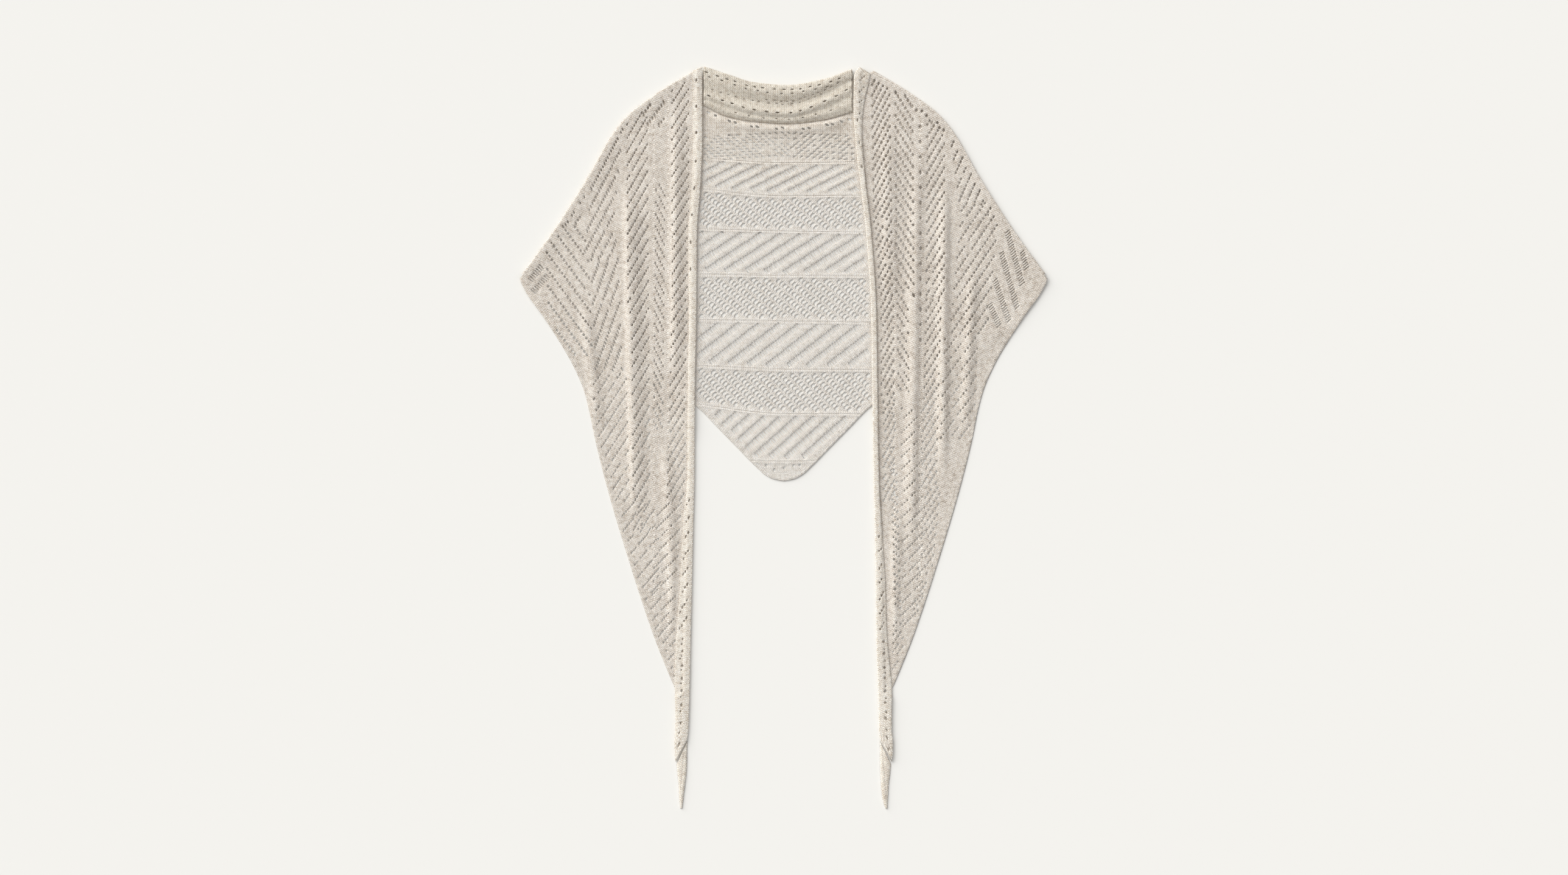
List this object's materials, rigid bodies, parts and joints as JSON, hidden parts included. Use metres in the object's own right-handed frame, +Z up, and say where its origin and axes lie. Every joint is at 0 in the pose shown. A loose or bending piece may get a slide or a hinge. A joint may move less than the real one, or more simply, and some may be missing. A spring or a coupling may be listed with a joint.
{
  "type": "lace shawl",
  "caption": "Triangular knitted lace shawl laid flat, its two ends folded forward over the shoulders into long fronts with rolled edges and twisted tails.",
  "frame": {"origin": "on the floor under the middle of the whole outline", "axes": "+Y from the tails towards the neck, +X to the right as the shawl is looked down on, +Z up from the floor"},
  "size_m": [0.6752, 0.9517, 0.0101],
  "materials": {
    "back_knit": "matt cream lace knit in horizontal bands",
    "neck_knit": "matt cream lace knit, gathered",
    "front_knit": "matt cream lace knit with slanted rows of eyelets",
    "edge_knit": "matt cream plain knit with single eyelets, rolled over"
  },
  "bodies": {
    "root": {"back_panel": "back_knit", "neck_folds": "neck_knit", "left_front": "front_knit", "left_edge": "edge_knit", "left_tip": "edge_knit", "right_front": "front_knit", "right_edge": "edge_knit", "right_tip": "edge_knit"}
  },
  "joints": []
}
